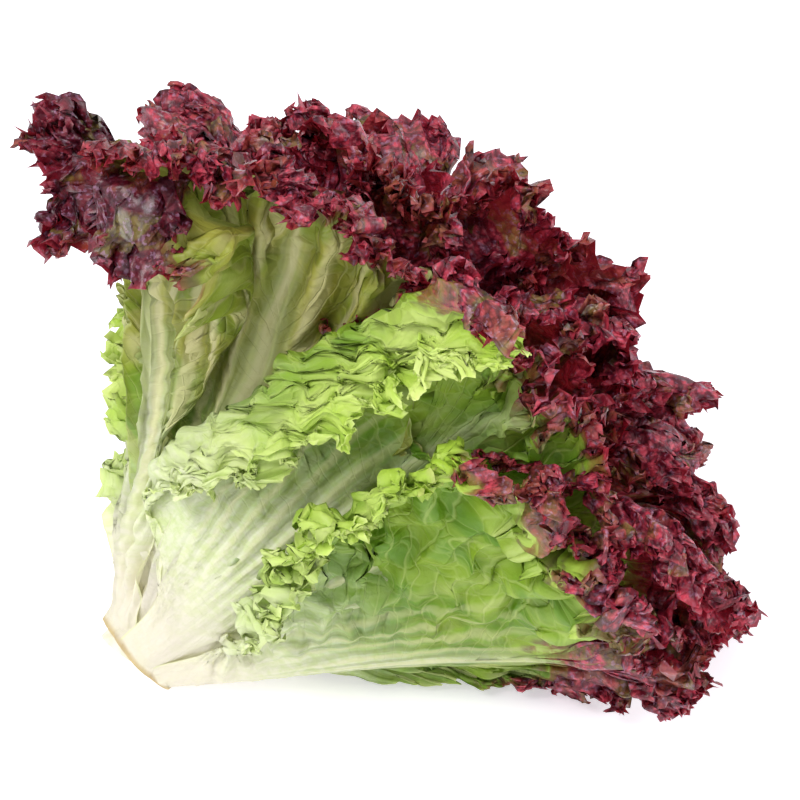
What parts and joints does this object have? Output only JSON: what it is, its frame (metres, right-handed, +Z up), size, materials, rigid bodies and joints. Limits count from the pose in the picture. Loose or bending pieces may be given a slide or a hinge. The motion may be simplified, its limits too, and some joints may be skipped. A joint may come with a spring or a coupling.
{
  "type": "loose-leaf lettuce head",
  "caption": "Head of red frilled loose-leaf lettuce cut at the base, lying on its side: a short stem that carries a spiral of wide thin leaves, opening as a fan",
  "frame": {"origin": "under the middle of the head's box, on the surface that the head lies on", "axes": "+Z up; the cut end of the stem is at -X and -Y, the leaves fan out towards +X and +Z, and -Y is the near side"},
  "size_m": [0.2194, 0.2488, 0.2042],
  "materials": {
    "stem": "moist whitish plant flesh with a tan cut face",
    "outer_leaf": "soft leaf: dark red frilled margin, green blade, pale midrib",
    "middle_leaf": "soft leaf: red frilled margin, green blade, pale midrib",
    "inner_leaf": "soft leaf: green with a red-brown margin",
    "heart_leaf": "soft leaf: pale yellow-green"
  },
  "bodies": {
    "root": {"stem": "stem", "outer_leaf_1": "outer_leaf", "outer_leaf_2": "outer_leaf", "outer_leaf_3": "outer_leaf", "outer_leaf_4": "outer_leaf", "outer_leaf_5": "outer_leaf", "outer_leaf_6": "outer_leaf", "outer_leaf_7": "outer_leaf", "outer_leaf_8": "outer_leaf", "outer_leaf_9": "outer_leaf", "outer_leaf_10": "outer_leaf", "middle_leaf_1": "middle_leaf", "middle_leaf_2": "middle_leaf", "middle_leaf_3": "middle_leaf", "middle_leaf_4": "middle_leaf", "middle_leaf_5": "middle_leaf", "middle_leaf_6": "middle_leaf", "middle_leaf_7": "middle_leaf", "middle_leaf_8": "middle_leaf", "inner_leaf_1": "inner_leaf", "inner_leaf_2": "inner_leaf", "inner_leaf_3": "inner_leaf", "inner_leaf_4": "inner_leaf", "inner_leaf_5": "inner_leaf", "inner_leaf_6": "inner_leaf", "inner_leaf_7": "inner_leaf", "heart_leaf_1": "heart_leaf", "heart_leaf_2": "heart_leaf", "heart_leaf_3": "heart_leaf", "heart_leaf_4": "heart_leaf"}
  },
  "joints": []
}
